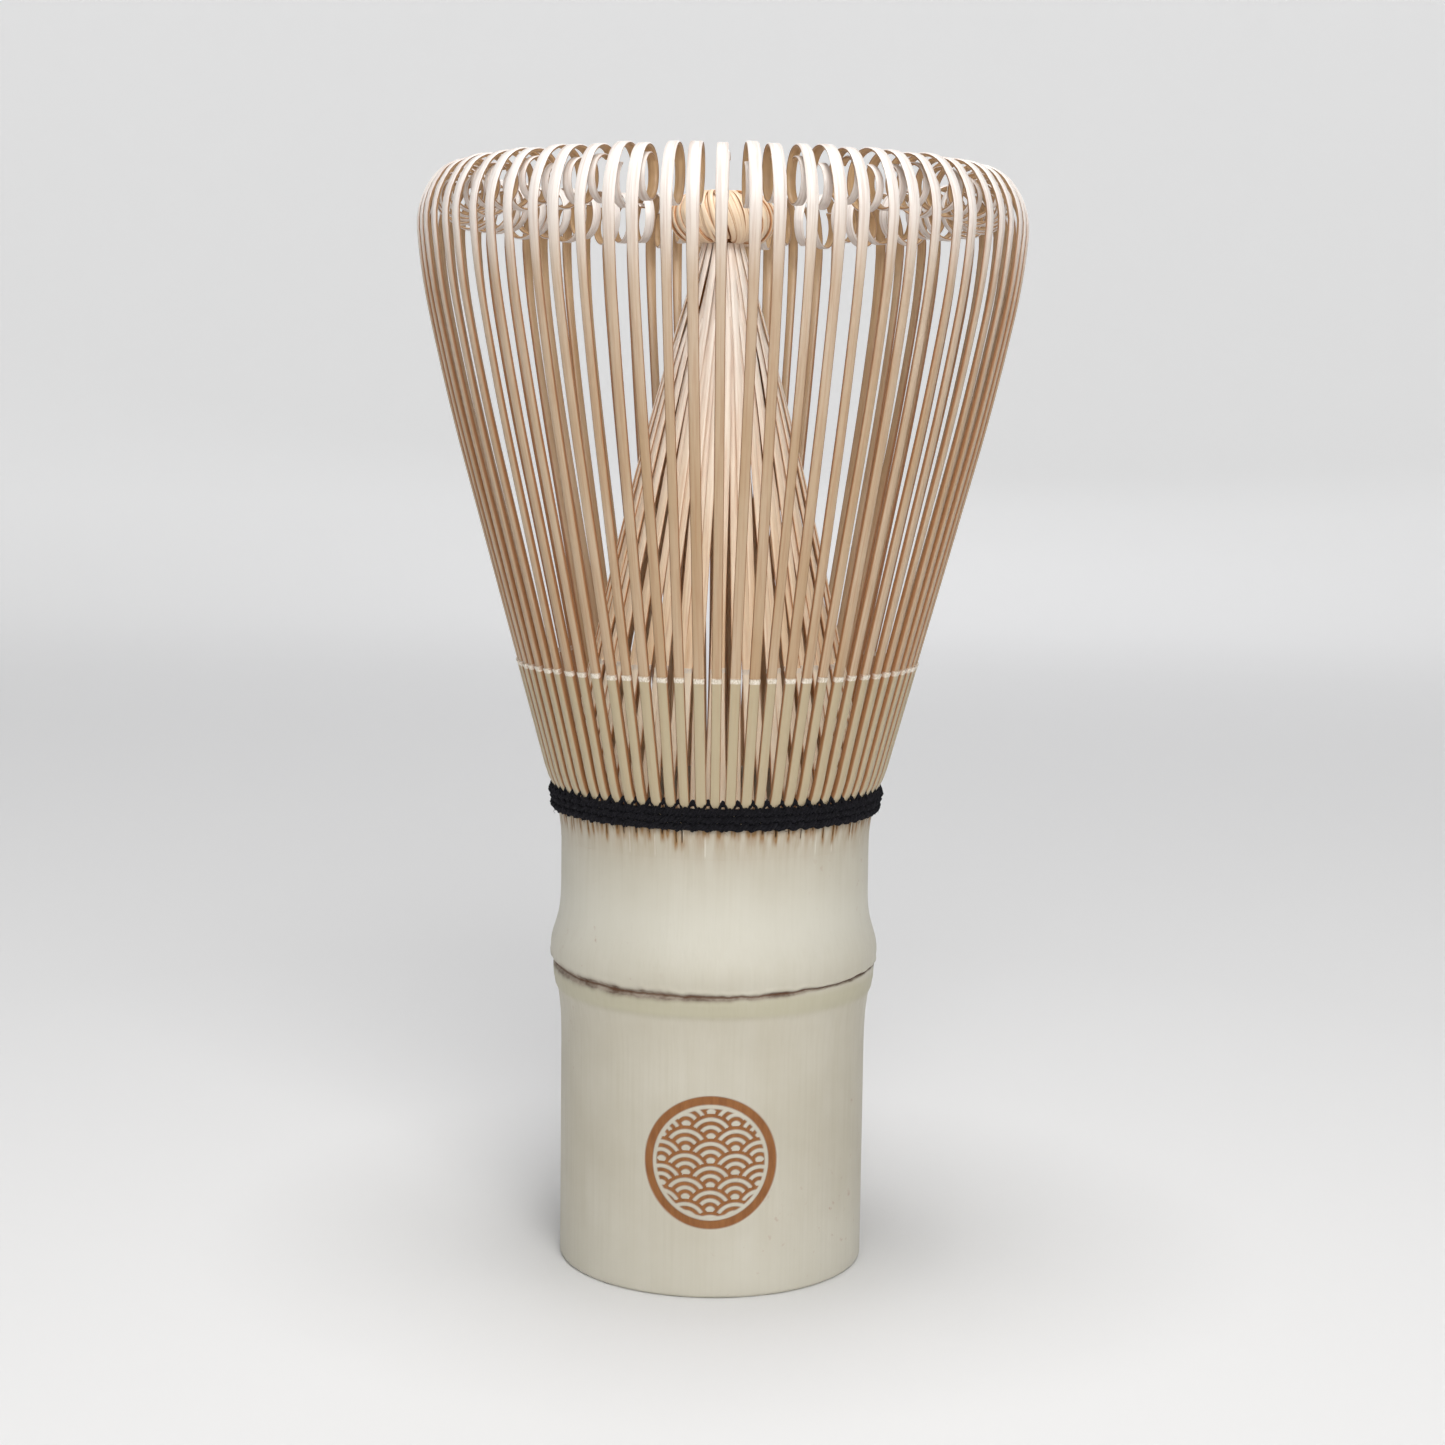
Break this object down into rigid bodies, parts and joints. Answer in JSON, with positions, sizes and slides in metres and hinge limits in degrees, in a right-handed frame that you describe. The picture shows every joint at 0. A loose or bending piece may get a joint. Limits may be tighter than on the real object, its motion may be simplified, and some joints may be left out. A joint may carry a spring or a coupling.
{
  "type": "bamboo tea whisk",
  "caption": "Bamboo tea whisk: a hollow culm grip split into a ring of springy hooked tines round a knotted inner cone, bound by black thread.",
  "frame": {"origin": "centre of the foot, on the surface that the whisk stands on", "axes": "+Z along the culm, from the foot up to the tips of the tines; -Y is the front"},
  "size_m": [0.0584, 0.0584, 0.1062],
  "materials": {
    "culm_skin": "satin bamboo skin",
    "culm_inside": "cut bamboo, matt",
    "outer_tine": "shaved bamboo, satin",
    "inner_tine": "shaved bamboo, satin",
    "thread": "matt twisted cotton"
  },
  "bodies": {
    "culm": {"handle": "culm_skin", "node_diaphragm": "culm_inside", "split_collar": "culm_inside", "center_knot": "inner_tine", "thread_weave": "thread", "thread_tie": "thread", "thread_upper_turn": "thread", "thread_middle_turn": "thread", "thread_lower_turn": "thread", "inner_tines_01": "inner_tine", "inner_tines_02": "inner_tine", "inner_tines_03": "inner_tine", "inner_tines_04": "inner_tine", "inner_tines_05": "inner_tine", "inner_tines_06": "inner_tine", "inner_tines_07": "inner_tine", "inner_tines_08": "inner_tine", "inner_tines_09": "inner_tine", "inner_tines_10": "inner_tine", "inner_tines_11": "inner_tine", "inner_tines_12": "inner_tine", "inner_tines_13": "inner_tine", "inner_tines_14": "inner_tine", "inner_tines_15": "inner_tine", "inner_tines_16": "inner_tine", "inner_tines_17": "inner_tine", "inner_tines_18": "inner_tine", "inner_tines_19": "inner_tine", "inner_tines_20": "inner_tine", "inner_tines_21": "inner_tine", "inner_tines_22": "inner_tine", "inner_tines_23": "inner_tine", "inner_tines_24": "inner_tine"},
    "segment_01": {"outer_tines_01": "outer_tine"},
    "segment_02": {"outer_tines_02": "outer_tine"},
    "segment_03": {"outer_tines_03": "outer_tine"},
    "segment_04": {"outer_tines_04": "outer_tine"},
    "segment_05": {"outer_tines_05": "outer_tine"},
    "segment_06": {"outer_tines_06": "outer_tine"},
    "segment_07": {"outer_tines_07": "outer_tine"},
    "segment_08": {"outer_tines_08": "outer_tine"},
    "segment_09": {"outer_tines_09": "outer_tine"},
    "segment_10": {"outer_tines_10": "outer_tine"},
    "segment_11": {"outer_tines_11": "outer_tine"},
    "segment_12": {"outer_tines_12": "outer_tine"},
    "segment_13": {"outer_tines_13": "outer_tine"},
    "segment_14": {"outer_tines_14": "outer_tine"},
    "segment_15": {"outer_tines_15": "outer_tine"},
    "segment_16": {"outer_tines_16": "outer_tine"},
    "segment_17": {"outer_tines_17": "outer_tine"},
    "segment_18": {"outer_tines_18": "outer_tine"},
    "segment_19": {"outer_tines_19": "outer_tine"},
    "segment_20": {"outer_tines_20": "outer_tine"},
    "segment_21": {"outer_tines_21": "outer_tine"},
    "segment_22": {"outer_tines_22": "outer_tine"},
    "segment_23": {"outer_tines_23": "outer_tine"},
    "segment_24": {"outer_tines_24": "outer_tine"}
  },
  "joints": [
    {"name": "segment_01_flex", "type": "hinge", "parent": "culm", "child": "segment_01", "pos_m": [0.01549, 0.00136, 0.047], "axis": [-0.0872, 0.9962, 0], "range_deg": [-3, 5], "stiffness_Nm_per_rad": 0.0087},
    {"name": "segment_02_flex", "type": "hinge", "parent": "culm", "child": "segment_02", "pos_m": [0.01461, 0.00532, 0.047], "axis": [-0.342, 0.9397, 0], "range_deg": [-3, 5], "stiffness_Nm_per_rad": 0.0087},
    {"name": "segment_03_flex", "type": "hinge", "parent": "culm", "child": "segment_03", "pos_m": [0.01274, 0.00892, 0.047], "axis": [-0.5736, 0.8192, 0], "range_deg": [-3, 5], "stiffness_Nm_per_rad": 0.0087},
    {"name": "segment_04_flex", "type": "hinge", "parent": "culm", "child": "segment_04", "pos_m": [0.01, 0.01191, 0.047], "axis": [-0.766, 0.6428, 0], "range_deg": [-3, 5], "stiffness_Nm_per_rad": 0.0087},
    {"name": "segment_05_flex", "type": "hinge", "parent": "culm", "child": "segment_05", "pos_m": [0.00657, 0.01409, 0.047], "axis": [-0.9063, 0.4226, 0], "range_deg": [-3, 5], "stiffness_Nm_per_rad": 0.0087},
    {"name": "segment_06_flex", "type": "hinge", "parent": "culm", "child": "segment_06", "pos_m": [0.0027, 0.01531, 0.047], "axis": [-0.9848, 0.1736, 0], "range_deg": [-3, 5], "stiffness_Nm_per_rad": 0.0087},
    {"name": "segment_07_flex", "type": "hinge", "parent": "culm", "child": "segment_07", "pos_m": [-0.00136, 0.01549, 0.047], "axis": [-0.9962, -0.0872, 0], "range_deg": [-3, 5], "stiffness_Nm_per_rad": 0.0087},
    {"name": "segment_08_flex", "type": "hinge", "parent": "culm", "child": "segment_08", "pos_m": [-0.00532, 0.01461, 0.047], "axis": [-0.9397, -0.342, 0], "range_deg": [-3, 5], "stiffness_Nm_per_rad": 0.0087},
    {"name": "segment_09_flex", "type": "hinge", "parent": "culm", "child": "segment_09", "pos_m": [-0.00892, 0.01274, 0.047], "axis": [-0.8192, -0.5736, 0], "range_deg": [-3, 5], "stiffness_Nm_per_rad": 0.0087},
    {"name": "segment_10_flex", "type": "hinge", "parent": "culm", "child": "segment_10", "pos_m": [-0.01191, 0.01, 0.047], "axis": [-0.6428, -0.766, 0], "range_deg": [-3, 5], "stiffness_Nm_per_rad": 0.0087},
    {"name": "segment_11_flex", "type": "hinge", "parent": "culm", "child": "segment_11", "pos_m": [-0.01409, 0.00657, 0.047], "axis": [-0.4226, -0.9063, 0], "range_deg": [-3, 5], "stiffness_Nm_per_rad": 0.0087},
    {"name": "segment_12_flex", "type": "hinge", "parent": "culm", "child": "segment_12", "pos_m": [-0.01531, 0.0027, 0.047], "axis": [-0.1736, -0.9848, 0], "range_deg": [-3, 5], "stiffness_Nm_per_rad": 0.0087},
    {"name": "segment_13_flex", "type": "hinge", "parent": "culm", "child": "segment_13", "pos_m": [-0.01549, -0.00136, 0.047], "axis": [0.0872, -0.9962, 0], "range_deg": [-3, 5], "stiffness_Nm_per_rad": 0.0087},
    {"name": "segment_14_flex", "type": "hinge", "parent": "culm", "child": "segment_14", "pos_m": [-0.01461, -0.00532, 0.047], "axis": [0.342, -0.9397, 0], "range_deg": [-3, 5], "stiffness_Nm_per_rad": 0.0087},
    {"name": "segment_15_flex", "type": "hinge", "parent": "culm", "child": "segment_15", "pos_m": [-0.01274, -0.00892, 0.047], "axis": [0.5736, -0.8192, 0], "range_deg": [-3, 5], "stiffness_Nm_per_rad": 0.0087},
    {"name": "segment_16_flex", "type": "hinge", "parent": "culm", "child": "segment_16", "pos_m": [-0.01, -0.01191, 0.047], "axis": [0.766, -0.6428, 0], "range_deg": [-3, 5], "stiffness_Nm_per_rad": 0.0087},
    {"name": "segment_17_flex", "type": "hinge", "parent": "culm", "child": "segment_17", "pos_m": [-0.00657, -0.01409, 0.047], "axis": [0.9063, -0.4226, 0], "range_deg": [-3, 5], "stiffness_Nm_per_rad": 0.0087},
    {"name": "segment_18_flex", "type": "hinge", "parent": "culm", "child": "segment_18", "pos_m": [-0.0027, -0.01531, 0.047], "axis": [0.9848, -0.1736, 0], "range_deg": [-3, 5], "stiffness_Nm_per_rad": 0.0087},
    {"name": "segment_19_flex", "type": "hinge", "parent": "culm", "child": "segment_19", "pos_m": [0.00136, -0.01549, 0.047], "axis": [0.9962, 0.0872, 0], "range_deg": [-3, 5], "stiffness_Nm_per_rad": 0.0087},
    {"name": "segment_20_flex", "type": "hinge", "parent": "culm", "child": "segment_20", "pos_m": [0.00532, -0.01461, 0.047], "axis": [0.9397, 0.342, 0], "range_deg": [-3, 5], "stiffness_Nm_per_rad": 0.0087},
    {"name": "segment_21_flex", "type": "hinge", "parent": "culm", "child": "segment_21", "pos_m": [0.00892, -0.01274, 0.047], "axis": [0.8192, 0.5736, 0], "range_deg": [-3, 5], "stiffness_Nm_per_rad": 0.0087},
    {"name": "segment_22_flex", "type": "hinge", "parent": "culm", "child": "segment_22", "pos_m": [0.01191, -0.01, 0.047], "axis": [0.6428, 0.766, 0], "range_deg": [-3, 5], "stiffness_Nm_per_rad": 0.0087},
    {"name": "segment_23_flex", "type": "hinge", "parent": "culm", "child": "segment_23", "pos_m": [0.01409, -0.00657, 0.047], "axis": [0.4226, 0.9063, 0], "range_deg": [-3, 5], "stiffness_Nm_per_rad": 0.0087},
    {"name": "segment_24_flex", "type": "hinge", "parent": "culm", "child": "segment_24", "pos_m": [0.01531, -0.0027, 0.047], "axis": [0.1736, 0.9848, 0], "range_deg": [-3, 5], "stiffness_Nm_per_rad": 0.0087}
  ]
}
